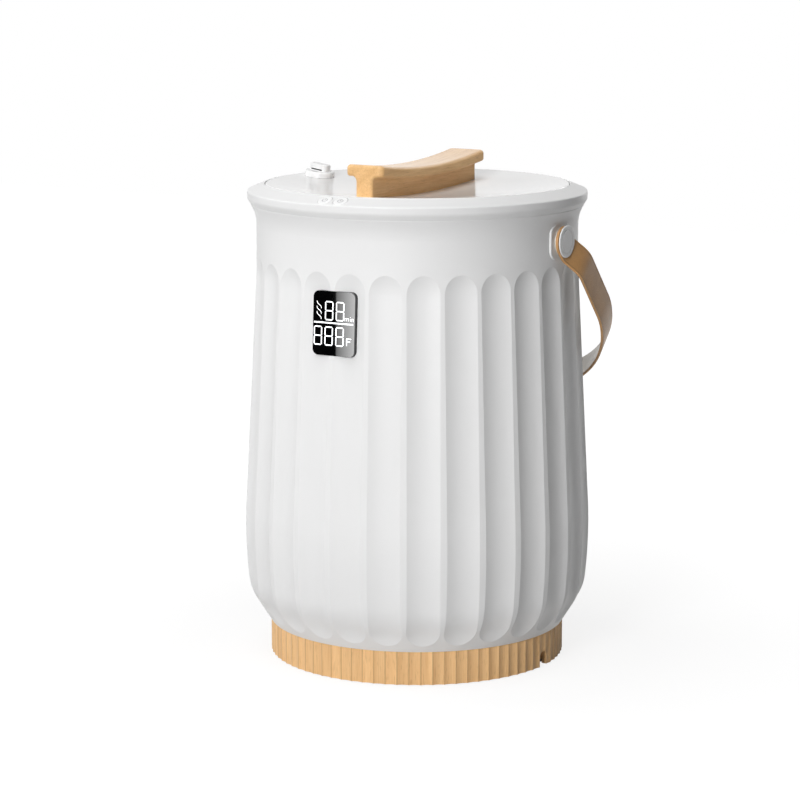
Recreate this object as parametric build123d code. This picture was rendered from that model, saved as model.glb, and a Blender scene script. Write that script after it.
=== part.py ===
from build123d import *
from math import asin, atan, atan2, cos, degrees, hypot, pi, radians, sin, sqrt, tan
import os

# Towel warmer bucket: a heated aluminium bucket in a fluted plastic casing on a wooden base ring,
# with a lift-off lid, a wooden lid handle, a lid lock, two buttons, a display and a leather strap.
# Millimetres. +Z is up, the front (display and buttons) faces -Y, the strap pivots lie on the X axis.
# The origin is on the floor, in the middle of the base.

# ---- driving dimensions ----
RIM_R = 147.0  # outer radius of the top ring
RIM_TOP_Z, RIM_EDGE_Z, RIM_BOTTOM_Z = 414.0, 408.0, 397.0  # ring: lid seam, outer shoulder, lower edge
SEAM_R = 132.0  # inner radius of the ring at the lid
SHELL_BOTTOM_Z, SHELL_TOP_Z = 30.0, 396.2
WALL = 3.0  # casing wall
FLUTES, FLUTE_DEPTH, RIDGE_WIDTH = 28, 3.2, 2.3
FLUTE_TOP_DROP = 5.0  # how far below the neck the flutes begin to close
BASE_R, BASE_SCALLOPS, SCALLOP_DEPTH = 129.0, 80, 1.2
BASE_INNER_R = 119.0
NOTCH_Y, NOTCH_WIDTH, NOTCH_TOP_Z = -2.5, 12.7, 14.0  # cord notch in the base ring, on +X
DISH_Z, DISH_R = 405.8, 130.6  # lid: height of the middle of its dished top, radius of the dish
LID_R, LID_BOTTOM_Z = 131.6, 402.0
HANDLE_LENGTH, CAP_WIDTH, STEM_WIDTH = 180.0, 36.0, 16.0
DISPLAY_WIDTH, DISPLAY_HEIGHT, DISPLAY_Z, DISPLAY_TURN = 40.0, 53.6, 309.2, 0.83  # turn: degrees off front
PIVOT_Z, STRAP_WIDTH, STRAP_THICK, STRAP_REST = 371.5, 26.2, 2.6, 44.45  # rest: degrees below level
BUTTON_R, BUTTON_CENTRE_R, BUTTON_X, BUTTON_TRAVEL = 6.2, 139.5, 7.5, 1.0
KNOB_X, KNOB_Y, KNOB_R = -112.3, 20.1, 13.2
BUCKET_R, BUCKET_FOOT_R, BUCKET_BOTTOM_Z, BUCKET_WALL = 119.2, 112.0, 74.0, 1.2
FLANGE_Z = 398.6  # ledge of the top ring that carries the bucket's flange
GAP = 0.3  # running gap between bodies

parts = {}


def polar(radius, angle, z=0.0):
    """Place something at a radius and an angle about the bucket's axis, in degrees."""
    return Pos(radius * cos(radians(angle)), radius * sin(radians(angle)), z)


def lathe(points):
    """Turn a closed outline of (radius, z) points about the axis."""
    outline = Polyline(*[(r, 0, z) for r, z in points], close=True)
    return revolve(make_face(outline), Axis.Z)


def bounded(*curves):
    """The flat face inside a closed run of curves."""
    return make_face([edge for curve in curves for edge in curve.edges()])


def tube(outer, inner, z0, z1):
    """A plain ring from z0 to z1."""
    ring = Circle(outer) - Circle(inner)
    return extrude(Pos(0, 0, z0) * ring, z1 - z0)


def rod(radius, z0, z1):
    """A plain cylinder on the Z axis from z0 to z1."""
    return extrude(Pos(0, 0, z0) * Circle(radius), z1 - z0)


def block(x0, x1, y0, y1, z0, z1):
    return Pos((x0 + x1) / 2, (y0 + y1) / 2, (z0 + z1) / 2) * Box(x1 - x0, y1 - y0, z1 - z0)


def screw(shank_r, head_r, head, length):
    """A screw that points up, with the underside of its head at z 0 and a cross recess."""
    body = rod(head_r, -head, 0) + rod(shank_r, 0, length)
    recess = block(-head_r * 0.6, head_r * 0.6, -0.4, 0.4, -head, -head * 0.5)
    return body - recess - Rot(0, 0, 90) * recess


# ---- casing profile: base cone, belly, long taper, neck, flared lip ----
BELLY = [(129.2, SHELL_BOTTOM_Z), (141.5, 49.0), (148.7, 69.4), (150.8, 130.5)]
TAPER_TOP, NECK, LIP_START = (139.9, 340.0), (139.3, 362.0), (139.3, 379.5)
LIP = (144.0, SHELL_TOP_Z)
TAPER_ANGLE = degrees(atan((BELLY[3][0] - TAPER_TOP[0]) / (TAPER_TOP[1] - BELLY[3][1])))


def xz(point, out=0.0, lean=0.0):
    """A profile point in the XZ plane, moved outwards along a normal that leans up by lean degrees."""
    return Vector(point[0] + out * cos(radians(lean)), 0, point[1] + out * sin(radians(lean)))


def casing_outline():
    foot = Line(xz(BELLY[0]), xz(BELLY[1]))
    bend = TangentArc(foot @ 1, xz(BELLY[2]), tangent=foot % 1)
    belly = TangentArc(bend @ 1, xz(BELLY[3]), tangent=bend % 1)
    taper = Line(belly @ 1, xz(TAPER_TOP))
    shoulder = TangentArc(taper @ 1, xz(NECK), tangent=taper % 1)
    neck = Line(shoulder @ 1, xz(LIP_START))
    lip = TangentArc(neck @ 1, xz(LIP), tangent=neck % 1)
    return [foot, bend, belly, taper, shoulder, neck, lip]


def flute_tools():
    """A ball-ended cutter that follows the casing from the belly's foot to the neck, piece by piece."""
    half = BELLY[3][0] * sin(pi / FLUTES) - RIDGE_WIDTH / 2
    radius = (half**2 + FLUTE_DEPTH**2) / (2 * FLUTE_DEPTH)
    out = radius - FLUTE_DEPTH
    foot, bend = casing_outline()[:2]
    leans = [-degrees(asin((edge % 1).X)) for edge in (foot, bend)] + [TAPER_ANGLE]
    low, mid, high = (xz(point, out, lean) for point, lean in zip(BELLY[1:], leans))
    top = xz(TAPER_TOP, out, TAPER_ANGLE)
    top -= (top - high).normalized() * FLUTE_TOP_DROP
    first = TangentArc(low, mid, tangent=foot % 1)
    second = TangentArc(mid, high, tangent=first % 1)
    runs = [first, second, Line(high, top)]
    tools = [sweep(Plane(origin=run @ 0, z_dir=run % 0) * Circle(radius), run) for run in runs]
    return tools + [Pos(*low) * Sphere(radius), Pos(*top) * Sphere(radius)]


def casing_sector():
    """One flute's share of the casing wall, centred on the XZ plane."""
    pitch = 360 / FLUTES
    axis_side = Polyline(xz(LIP), (0, 0, LIP[1]), (0, 0, SHELL_BOTTOM_Z), xz(BELLY[0]))
    outline = Rot(0, 0, -pitch / 2) * bounded(*casing_outline(), axis_side)
    sector = revolve(outline, Axis.Z, revolution_arc=pitch)
    for tool in flute_tools():
        sector -= tool
    behind_flutes = WALL + FLUTE_DEPTH
    hollow = [(0, SHELL_BOTTOM_Z + WALL), (121, SHELL_BOTTOM_Z + WALL), (123, 36)]
    hollow += [(r - behind_flutes, z) for r, z in BELLY[1:]]
    hollow += [(TAPER_TOP[0] - behind_flutes, TAPER_TOP[1]), (NECK[0] - behind_flutes, 355)]
    hollow += [(NECK[0] - WALL, 361), (LIP_START[0] - WALL, 378)]
    hollow += [(137.9, 381.8), (138.6, 389)]  # room for the heads of the ring screws
    hollow += [(LIP[0] - WALL, SHELL_TOP_Z), (0, SHELL_TOP_Z)]
    return sector - lathe(hollow) - rod(FLOOR_HOLE_R, 0, 40)


DISPLAY_FACE = BELLY[3][0] - (DISPLAY_Z - BELLY[3][1]) * tan(radians(TAPER_ANGLE)) + 0.1
TURN, LEAN = radians(DISPLAY_TURN), radians(TAPER_ANGLE)
DISPLAY = Plane(
    origin=(DISPLAY_FACE * sin(TURN), -DISPLAY_FACE * cos(TURN), DISPLAY_Z),
    x_dir=(cos(TURN), sin(TURN), 0),
    z_dir=(cos(LEAN) * sin(TURN), -cos(LEAN) * cos(TURN), sin(LEAN)),
)
PAD_X, PAD_INNER_X, PAD_Y, PAD_HEIGHT = 139.7, 132.5, 36.0, 30.0  # strap pads on the casing
FLOOR_HOLE_R = 96.0  # opening in the casing's floor
LUG_TOP_Z = 395.4  # the lugs meet the ring's screw bosses here
LUG_R, LUG_ANGLES = 135.0, (45, 135, 225, 315)  # lugs that take the ring's screws
BOSS_R, BOSS_ANGLES = 110.0, tuple(range(30, 390, 60))  # bosses that take the base screws


def panel(width, height, corner, low, high):
    """A round-cornered slab in the display's frame, between two depths."""
    return extrude(DISPLAY.offset(low) * RectangleRounded(width, height, corner), high - low)


def casing_additions():
    """What stands proud of the plain wall: board land, strap pads, ring lugs and floor bosses."""
    solids = [panel(BOARD_WIDTH + 3, BOARD_HEIGHT + 3, 4, -FRAME_DEPTH, -7)]
    slab = extrude(RectangleRounded(PAD_HEIGHT, PAD_Y, 9), PAD_X - 136)
    slab = fillet(slab.edges().group_by(Axis.Z)[-1], 1.2)
    for side in (1, -1):
        solids.append(Pos(side * 136, 0, PIVOT_Z) * Rot(0, side * 90, 0) * slab)
        solids.append(Pos(side * (PAD_INNER_X + 2.5), 0, PIVOT_Z) * Box(5, PAD_Y, PAD_HEIGHT))
    lip_skin = [(139.1, 384), (140.2, 388), (141.4, 392), (143.1, LUG_TOP_Z)]
    inside_lip = lathe([(0, 384), *lip_skin, (0, LUG_TOP_Z)])
    lug = (rod(3.8, 384, 400) + block(0, 9, -3.8, 3.8, 384, 400)) & (Pos(-LUG_R, 0, 0) * inside_lip)
    solids += [polar(LUG_R, angle) * Rot(0, 0, angle) * lug for angle in LUG_ANGLES]
    solids += [polar(BOSS_R, angle) * rod(5, SHELL_BOTTOM_Z, 46) for angle in BOSS_ANGLES]
    return solids


def casing_cuts():
    """The display's aperture and every hole in the casing."""
    cuts = [panel(DISPLAY_WIDTH + 0.4, DISPLAY_HEIGHT + 0.4, DISPLAY_CORNER + 0.2, -20, 5)]
    pilot = rod(0.95, -1, DISPLAY_SCREW_GRIP)
    cuts += [DISPLAY.offset(-FRAME_DEPTH) * Pos(x, y, 0) * pilot for x, y in DISPLAY_SCREWS]
    cuts += [Pos(side * 130, 0, PIVOT_Z) * Rot(0, 90, 0) * Cylinder(2.5, 40) for side in (1, -1)]
    cuts += [polar(LUG_R, angle) * rod(1.4, 380, 400) for angle in LUG_ANGLES]
    cuts += [polar(BOSS_R, angle) * rod(1.9, 20, 43) for angle in BOSS_ANGLES]
    return cuts


def outer_shell():
    sector = casing_sector()
    first, *others = [Rot(0, 0, (i + 0.5) * 360 / FLUTES) * sector for i in range(FLUTES)]
    shell = first.fuse(*others)
    first, *others = [solid for piece in casing_additions() for solid in piece.solids()]
    shell = shell.fuse(first, *others)
    return shell.cut(*[solid for piece in casing_cuts() for solid in piece.solids()])


# ---- base ----
PLATE_LOW, PLATE_TOP = 2.0, 4.5
INLET_Z, INLET_BORE_R = 9.4, 3.2  # cord inlet behind the notch
BOARD_POSTS = [(x, y) for x in (-44, 44) for y in (-29, 29)]
BOARD_Z = 11.0


def base_ring():
    step = 360 / BASE_SCALLOPS
    arcs = []
    for i in range(BASE_SCALLOPS):
        a, m, b = i * step, (i + 0.5) * step, (i + 1) * step
        ridge = (polar(BASE_R, a), polar(BASE_R - SCALLOP_DEPTH, m), polar(BASE_R, b))
        arcs.append(ThreePointArc(*[p.position for p in ridge]))
    ring = extrude(Pos(0, 0, 1.0) * make_face(Wire(arcs)), SHELL_BOTTOM_Z - 1.0)
    ring -= rod(BASE_INNER_R, 0, 40) + rod(123.2, 0, PLATE_TOP)
    return ring - notch(100, 140)


def notch(x0, x1):
    """The cord notch: a slot with a round top, open at the floor."""
    half = NOTCH_WIDTH / 2
    slot = block(x0, x1, NOTCH_Y - half, NOTCH_Y + half, -1, NOTCH_TOP_Z - half)
    arch = Pos((x0 + x1) / 2, NOTCH_Y, NOTCH_TOP_Z - half) * Rot(0, 90, 0) * Cylinder(half, x1 - x0)
    return slot + arch


def bottom_plate():
    plate = rod(122.8, PLATE_LOW, PLATE_TOP) - notch(114.0, 130)
    plate += tube(118.6, 115.8, PLATE_TOP, SHELL_BOTTOM_Z)
    for angle in BOSS_ANGLES:
        plate += polar(BOSS_R, angle) * rod(5.6, PLATE_TOP, SHELL_BOTTOM_Z)
    for x, y in BOARD_POSTS:
        plate += Pos(x, y) * rod(3.5, PLATE_TOP, BOARD_Z)
    plate += block(111, 118.2, NOTCH_Y - 9, NOTCH_Y + 9, PLATE_TOP, 18)
    plate -= Pos(114.5, NOTCH_Y, INLET_Z) * Rot(0, 90, 0) * Cylinder(4.35, 10)
    for angle in BOSS_ANGLES:
        plate -= polar(BOSS_R, angle) * (rod(3.9, 0, 25) + rod(1.9, 20, 40))
    for x, y in BOARD_POSTS:
        plate -= Pos(x, y) * rod(1.35, 5.5, 12)
    for i in range(-4, 5):
        plate -= Pos(i * 9, 70, 3) * Box(3, 34, 6)
        plate -= Pos(i * 9, -70, 3) * Box(3, 34, 6)
    return plate


def base_pieces():
    parts["base_ring"] = base_ring()
    parts["bottom_plate"] = bottom_plate()
    parts["foot_ring"] = tube(112, 100, 0, PLATE_LOW) - foot_reliefs()
    parts["base_screws"] = [polar(BOSS_R, a, 25) * screw(1.75, 3.6, 2.5, 16) for a in BOSS_ANGLES]
    gland = rod(4.3, 108, 121) + rod(4.9, 108, 111) + rod(4.4, 118.6, 120) - rod(INLET_BORE_R, 100, 130)
    parts["cord_inlet"] = Pos(0, NOTCH_Y, INLET_Z) * Rot(0, 90, 0) * gland


def foot_reliefs():
    """Half-round reliefs that leave the base screws free."""
    reliefs = Part()
    for angle in BOSS_ANGLES:
        reliefs += polar(BOSS_R, angle) * rod(4.6, -1, 3)
    return reliefs


def power_pieces():
    board = Pos(0, 0, BOARD_Z) * extrude(RectangleRounded(100, 70, 3), 1.6)
    for x, y in BOARD_POSTS:
        board -= Pos(x, y) * rod(1.5, 0, 20)
    parts["power_board"] = board
    top = BOARD_Z + 1.6
    parts["power_board_screws"] = [
        Pos(x, y, top) * Rot(180, 0, 0) * screw(1.25, 2.8, 1.6, 6.5) for x, y in BOARD_POSTS
    ]
    parts["power_components"] = [
        block(-38, -14, -12, 10, top, top + 18),  # transformer
        block(8, 24, -20, -8, top, top + 14),  # relay
        Pos(-2, 20) * rod(5, top, top + 16),  # smoothing capacitor
        Pos(-26, 22) * rod(4, top, top + 12),
        block(10, 26, 6, 14, top, top + 10),  # suppression capacitor
        block(-8, 2, -24, -16, top, top + 3),  # controller chip
    ]
    terminals = block(34, 46, -12, 12, top, top + 10)
    for y in (-7, 0, 7):
        terminals -= Pos(34, y, top + 5) * Rot(0, 90, 0) * Cylinder(1.6, 8)
    parts["terminal_block"] = terminals


# ---- bucket, heater and insulation ----
def bucket_r(z):
    """Outer radius of the tapered bucket."""
    low, high = BUCKET_BOTTOM_Z + 20, FLANGE_Z
    return BUCKET_FOOT_R + (BUCKET_R - BUCKET_FOOT_R) * (z - low) / (high - low)


def bucket_skin(offset):
    """Half section of the bucket, offset inwards, closed along the axis and at the ledge."""
    low = BUCKET_BOTTOM_Z + offset
    corner = 20 - offset
    foot = Line((0, 0, low), (BUCKET_FOOT_R - 20, 0, low))
    middle = (BUCKET_FOOT_R - 20 + corner * sin(pi / 4), 0, low + corner * (1 - cos(pi / 4)))
    bend = ThreePointArc(foot @ 1, middle, (BUCKET_FOOT_R - offset, 0, low + corner))
    wall = Line(bend @ 1, (BUCKET_R - offset, 0, FLANGE_Z + 2))
    close = Polyline(wall @ 1, (0, 0, FLANGE_Z + 2), (0, 0, low))
    return revolve(bounded(foot, bend, wall, close), Axis.Z)


def cone_band(z0, z1, inner, thick):
    """A band that follows the bucket's taper, at a distance from its wall."""
    a, b = bucket_r(z0) + inner, bucket_r(z1) + inner
    return lathe([(a, z0), (a + thick, z0), (b + thick, z1), (b, z1)])


def heater_pieces():
    bucket = bucket_skin(0) - Pos(0, 0, FLANGE_Z + 50 + BUCKET_WALL) * Box(400, 400, 100)
    bucket += tube(129, 116, FLANGE_Z, FLANGE_Z + BUCKET_WALL)
    bucket -= bucket_skin(BUCKET_WALL)
    bead = Pos(129, 0, FLANGE_Z + 1.2) * Rot(90, 0, 0) * Circle(1.2)
    parts["inner_bucket"] = bucket + revolve(bead, Axis.Z)
    parts["rim_gasket"] = tube(127.4, 119.6, FLANGE_Z + BUCKET_WALL, LID_BOTTOM_Z - 0.2)
    parts["heater_film"] = cone_band(120, 330, 0.15, 0.8)
    parts["heater_bands"] = [cone_band(z, z + 12, 1.05, 0.5) for z in (150, 290)]
    sleeve = rod(127, 76, 392) - lathe(
        [(0, 70), (bucket_r(70) + 1.8, 70), (bucket_r(395) + 1.8, 395), (0, 395)]
    )
    parts["insulation_sleeve"] = sleeve
    parts["insulation_disc"] = tube(92, 42, 69, BUCKET_BOTTOM_Z)
    cradle = tube(102, 98.5, SHELL_BOTTOM_Z + WALL, 69) + tube(102, 78, 66, 69)
    cradle += tube(104.5, 97, SHELL_BOTTOM_Z + WALL, 35)
    cradle -= Pos(0, -100, 50) * Box(14, 20, 20)
    for x in (-84, 84):
        cradle -= Pos(x, 0) * rod(1.3, 60, 70)
    parts["bucket_cradle"] = cradle
    bracket = block(-90, 90, -9, 9, 64, 66)
    for x in (-84, 84):
        bracket -= Pos(x, 0) * rod(1.7, 60, 70)
    parts["sensor_bracket"] = bracket
    parts["bracket_screws"] = [Pos(x, 0, 64) * screw(1.2, 2.8, 1.6, 4.6) for x in (-84, 84)]
    parts["thermostat"] = rod(8.5, 66, 70) + rod(7, 70, BUCKET_BOTTOM_Z)
    parts["ntc_sensor"] = Pos(20, 0) * rod(3, 66, BUCKET_BOTTOM_Z)
    fuse = Pos(-25, 0, 68.5) * Rot(0, 90, 0) * (Cylinder(2.4, 12) + Cylinder(0.6, 26))
    parts["thermal_fuse"] = fuse + block(-31, -19, -2, 2, 66, 67.5)


# ---- top ring, buttons ----
RING_SLOPE = (RIM_TOP_Z - RIM_EDGE_Z) / (RIM_R - SEAM_R)
SHOULDER_ROUND, LOWER_ROUND = 1.2, 4.0
RIM_FOOT_R, BEVEL_RISE = 144.3, 4.5  # the lower edge is bevelled, so the strap swings past it
SEAT_FLOOR_Z, CAP_UNDER_Z = 404.6, 406.0  # button seat: floor of the recess, underside of the caps
BUTTON_BOARD_Z = 396.2


def ring_z(radius, lift=0.0):
    """Height of the ring's sloped top at a radius."""
    return RIM_TOP_Z - (radius - SEAM_R) * RING_SLOPE + lift


def button_places():
    angle = degrees(asin(BUTTON_X / BUTTON_CENTRE_R))
    return {"power": -90 - angle, "timer": -90 + angle}


LOCK_ANGLE = degrees(atan2(KNOB_Y, KNOB_X))
KNOB_REACH = hypot(KNOB_X, KNOB_Y)


def top_ring():
    inner, outer = SEAM_R + 2.6, RIM_R - 2.8
    section = [
        (RIM_FOOT_R, RIM_BOTTOM_Z),
        (RIM_R, RIM_BOTTOM_Z + BEVEL_RISE),
        (RIM_R, RIM_EDGE_Z),
        (SEAM_R + 0.4, ring_z(SEAM_R + 0.4)),
        (SEAM_R, ring_z(SEAM_R + 0.4) - 0.4),
        (SEAM_R, FLANGE_Z),
        (BUCKET_R + 0.5, FLANGE_Z),
        (BUCKET_R + 0.5, FLANGE_Z - 3),
        (inner, FLANGE_Z - 3),
        (inner, ring_z(inner) - 2.8),
        (outer, ring_z(outer) - 2.8),
        (outer, 401),
        (141.9, 400),
        (141.9, SHELL_TOP_Z),
        (144.0, SHELL_TOP_Z),
        (144.0, RIM_BOTTOM_Z),
    ]
    ring = lathe(section)
    for place, rounding in ((-1, SHOULDER_ROUND), (0, LOWER_ROUND)):
        circles = ring.edges().filter_by(GeomType.CIRCLE)
        rims = circles.filter_by(lambda edge: edge.radius > RIM_R - 0.01)
        ring = fillet(rims.sort_by(Axis.Z)[place], rounding)
    space = lathe([(SEAM_R + 1, 402.6), (RIM_R - 1, 402.6), (RIM_R - 1, 407), (SEAM_R + 1, 413)])
    seat = space & block(-17, 17, -150, -120, 390, 420)
    ring += seat
    for angle in LUG_ANGLES:
        ring += polar(LUG_R, angle) * rod(2.9, LUG_TOP_Z, 409)
        ring -= polar(LUG_R, angle) * rod(1.25, 390, 406)
    for angle in button_places().values():
        ring -= polar(BUTTON_CENTRE_R, angle) * (rod(6.5, SEAT_FLOOR_Z, 430) + rod(2.9, 390, 430))
    for x in (-14.6, 14.6):
        post = Pos(x, -138, 0) * rod(1.9, BUTTON_BOARD_Z + 1.2, 404)
        ring += post
        ring -= Pos(x, -138, 0) * rod(0.9, 390, 403)
    slot = Rot(0, 0, LOCK_ANGLE) * block(SEAM_R - 3, inner + 4, -12.5, 12.5, 405.5, 410.2)
    return ring - slot


def button(angle):
    """A round cap that follows the ring's slope, on a stem that runs through the seat."""
    place = polar(BUTTON_CENTRE_R, angle)
    slope = lathe([(0, 380), (RIM_R + 5, 380), (RIM_R + 5, ring_z(RIM_R + 5, 0.3)), (0, ring_z(0, 0.3))])
    cap = (place * rod(BUTTON_R, CAP_UNDER_Z, 430)) & slope
    top = cap.faces().sort_by(Axis.Z)[-1]
    return fillet(top.edges(), 0.5) + place * rod(2.6, 400.2, CAP_UNDER_Z + 0.5)


def ring_pieces():
    parts["top_ring"] = top_ring()
    parts["ring_screws"] = [polar(LUG_R, a, 384) * screw(1.15, 2.7, 1.8, 20) for a in LUG_ANGLES]
    for name, angle in button_places().items():
        parts[f"{name}_button"] = button(angle)
        clip = polar(BUTTON_CENTRE_R, angle) * (tube(4.1, 2.65, 401.8, 402.4))
        parts[f"{name}_button_clip"] = clip
    board = block(-17.5, 17.5, -140.3, -135.3, BUTTON_BOARD_Z, BUTTON_BOARD_Z + 1.2)
    for x in (-14.6, 14.6):
        board -= Pos(x, -138, 0) * rod(1.0, 390, 400)
    parts["button_board"] = board
    top = BUTTON_BOARD_Z + 1.2
    parts["button_switches"] = [
        polar(138.2, a) * (block(-2.2, 2.2, -2.1, 2.1, top, top + 1.1) + rod(1.1, top, top + 1.5))
        for a in button_places().values()
    ]
    parts["button_board_screws"] = [
        Pos(x, -138, BUTTON_BOARD_Z) * screw(0.8, 1.7, 1.1, 6) for x in (-14.6, 14.6)
    ]


# ---- display ----
DISPLAY_CORNER, WINDOW_THICK, FRAME_DEPTH = 5.0, 2.0, 10.5
BOARD_WIDTH, BOARD_HEIGHT, BOARD_THICK = 53.0, 60.0, 1.6
DISPLAY_SCREWS = [(x, y) for x in (-23.5, 23.5) for y in (-26.5, 26.5)]
DISPLAY_SCREW_GRIP = 2.9  # how far the screws reach into the casing
DIGIT_W, DIGIT_H, STROKE, BAR_GAP = 8.0, 16.0, 1.0, 0.45


def bar(length, stroke):
    """One stroke of a digit: a bar with pointed ends."""
    half, tip = length / 2, stroke / 2
    lower = [(tip - half, -tip), (half - tip, -tip), (half, 0)]
    upper = [(half - tip, tip), (tip - half, tip), (-half, 0)]
    return Polygon(*lower, *upper)


def digit(x, y):
    """The seven strokes of one digit, centred at x, y in the display's frame."""
    across, up = (DIGIT_W - STROKE) / 2, (DIGIT_H - STROKE) / 2
    level, post = bar(2 * across - BAR_GAP, STROKE), Rot(0, 0, 90) * bar(up - BAR_GAP, STROKE)
    levels = [Pos(x, y + row * up) * level for row in (-1, 0, 1)]
    return levels + [Pos(x + i * across, y + j * up / 2) * post for i in (-1, 1) for j in (-1, 1)]


def drawn(stroke, *points):
    """A line of even width through a run of points."""
    return trace(Polyline(*points), stroke)


def display_marks():
    """Everything on the display that lights: digits, divider, heat sign and the two units."""
    marks = [s for x in (-4.7, 5.8) for s in digit(x, 10.5)]
    marks += [s for x in (-15.1, -4.7, 5.8) for s in digit(x, -10.6)]
    marks.append(Pos(-0.3, 0.45) * Rectangle(37.8, 1.15))
    for y in (6.3, 10.7, 15.1):
        wave = Spline((-16.4, y + 3.1), (-15.7, y + 1.0), (-13.0, y - 1.0), (-12.3, y - 3.1))
        marks.append(trace(wave, 0.55))
    foot, middle, head = -17.5, -14.0, -11.7
    marks.append(drawn(0.9, (12.7, foot), (12.7, head), (17.0, head)))
    marks.append(drawn(0.9, (13.2, middle), (16.2, middle)))
    foot, head, stroke = 2.9, 5.4, 0.5
    for x in (10.6, 12.3, 14.0, 15.8, 17.2, 18.7):
        marks.append(Pos(x, (foot + head) / 2) * Rectangle(stroke, head - foot))
    for x0, x1 in ((10.6, 14.0), (17.2, 18.7)):
        marks.append(Pos((x0 + x1) / 2, head - stroke / 2) * Rectangle(x1 - x0, stroke))
    marks.append(Pos(15.8, head + 1.0) * Rectangle(stroke, stroke))
    return marks


def display_pieces():
    window = panel(DISPLAY_WIDTH, DISPLAY_HEIGHT, DISPLAY_CORNER, -WINDOW_THICK, 0)
    marks = Sketch() + display_marks()
    # the marks are light guides, moulded through the black window and level with its face
    guides = extrude(DISPLAY.offset(-WINDOW_THICK) * marks, WINDOW_THICK)
    parts["display_window"] = window - guides
    parts["display_segments"] = guides.solids()
    frame = panel(DISPLAY_WIDTH, DISPLAY_HEIGHT, DISPLAY_CORNER, -FRAME_DEPTH, -WINDOW_THICK)
    for y in (-12, 12):
        chamber = extrude(DISPLAY.offset(-FRAME_DEPTH - 1) * Pos(0, y) * RectangleRounded(35, 20, 2), 6)
        frame -= chamber
    parts["display_reflector"] = frame
    board_back = DISPLAY.offset(-FRAME_DEPTH - BOARD_THICK)
    board = extrude(board_back * RectangleRounded(BOARD_WIDTH, BOARD_HEIGHT, 3), BOARD_THICK)
    for x, y in DISPLAY_SCREWS:
        board -= board_back * Pos(x, y, 0) * rod(1.1, -1, 3)
    parts["display_board"] = board
    parts["display_screws"] = [
        board_back * Pos(x, y, 0) * screw(0.9, 1.9, 1.0, BOARD_THICK + DISPLAY_SCREW_GRIP - 0.3)
        for x, y in DISPLAY_SCREWS
    ]


def wire_harness():
    """The lead from the display board down the gap behind the casing to the power board."""
    behind_board = -129.4
    corners = [(0, behind_board, 283.5), (0, behind_board, 54), (0, -86, 54), (0, -86, 22), (0, -36.5, 22)]
    path = FilletPolyline(*corners, radius=10)
    section = Plane(origin=path @ 0, z_dir=path % 0) * Circle(1.3)
    return sweep(section, path)


# ---- strap and its pivots ----
STRAP_X, STRAP_FLAT = 142.3, 9.4
CAP_R, CAP_RISE, CAP_TOP, STUD_HEAD = 13.8, 1.15, 2.2, 0.7  # heights above the strap
STRAP_BENDS = [(10.0, 27.0, 10.3), (28.0, -2.9, 51.2), (82.5, -12.0, 0.0)]  # radius, heading, run


def strap_centre():
    """Half of the strap's centre line, in its own plane: x across the bucket, y away from the pivots."""
    edges = [Line((STRAP_X, 0), (STRAP_X, STRAP_FLAT))]
    heading = 0.0
    for radius, target, run in STRAP_BENDS:
        turn = target - heading
        edges.append(JernArc(edges[-1] @ 1, edges[-1] % 1, radius, -turn))
        heading = target
        if run:
            edges.append(Line(edges[-1] @ 1, edges[-1] @ 1 + (edges[-1] % 1) * run))
    x = (edges[-1] @ 1).X
    edges.append(JernArc(edges[-1] @ 1, edges[-1] % 1, x / cos(radians(heading)), 90 + heading))
    return edges


def strap_pieces():
    path = Wire(strap_centre())
    section = Plane(origin=path @ 0, x_dir=(0, 0, 1), z_dir=path % 0) * Rectangle(STRAP_WIDTH, STRAP_THICK)
    end = Pos(STRAP_X, 0, 0) * Rot(0, 90, 0) * Cylinder(STRAP_WIDTH / 2, STRAP_THICK)
    hole = Pos(STRAP_X, 0, 0) * Rot(0, 90, 0) * Cylinder(6.05, 8)
    half = sweep(section, path) + end - hole
    band = half + mirror(half, Plane.YZ)
    # the strap lies behind the bucket, leaning down from the pivots
    lean = Pos(0, 0, PIVOT_Z) * Rot(-STRAP_REST, 0, 0)
    parts["strap_band"] = lean * band
    eyelet = Rot(0, 90, 0) * (Cylinder(6, STRAP_THICK) - Cylinder(4.05, 8))
    parts["strap_eyelets"] = [lean * Pos(side * STRAP_X, 0, 0) * eyelet for side in (1, -1)]
    inner, outer = STRAP_X - STRAP_THICK / 2 - 0.15, STRAP_X + STRAP_THICK / 2 + 0.15
    studs, washers, nuts, caps = [], [], [], []
    for side in (1, -1):
        turn = Pos(0, 0, PIVOT_Z) * Rot(0, 90 * side, 0)
        stud = rod(2.4, 127.4, PAD_X) + rod(4, PAD_X, outer) + rod(9, outer, outer + STUD_HEAD)
        studs.append(turn * stud)
        washers.append(turn * (rod(11, PAD_X, inner) - rod(4.05, 0, 200)))
        nut = extrude(RegularPolygon(4.6, 6), 4.0) - Pos(0, 0, 2) * Cylinder(2.45, 8)
        nuts.append(turn * Pos(0, 0, PAD_INNER_X - 4.0) * nut)
        dome = rod(CAP_R, outer + CAP_RISE, outer + CAP_TOP)
        dome = fillet(dome.edges().group_by(Axis.Z)[-1], 0.9) + rod(11.0, outer + 0.2, outer + 1.3)
        dome -= rod(9.05, 0, outer + STUD_HEAD + 0.05)
        dome -= tube(10.2, 9.6, outer + CAP_TOP - 0.4, outer + CAP_TOP + 1)
        caps.append(turn * dome)
    parts["strap_studs"] = studs
    parts["strap_washers"] = washers
    parts["strap_nuts"] = nuts
    parts["strap_caps"] = caps


# ---- lid ----
DISH_SAG = RIM_TOP_Z - DISH_Z
DISH_SPHERE = (DISH_R**2 + DISH_SAG**2) / (2 * DISH_SAG)
DISH_CENTRE_Z = DISH_Z + DISH_SPHERE
PLUG_R, PLUG_Z = 97.0, 388.0
LINER_SCREWS = [(88, a) for a in (40, 140, 220, 320)]
HANDLE_SCREW_Y = (-55, 55)


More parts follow.
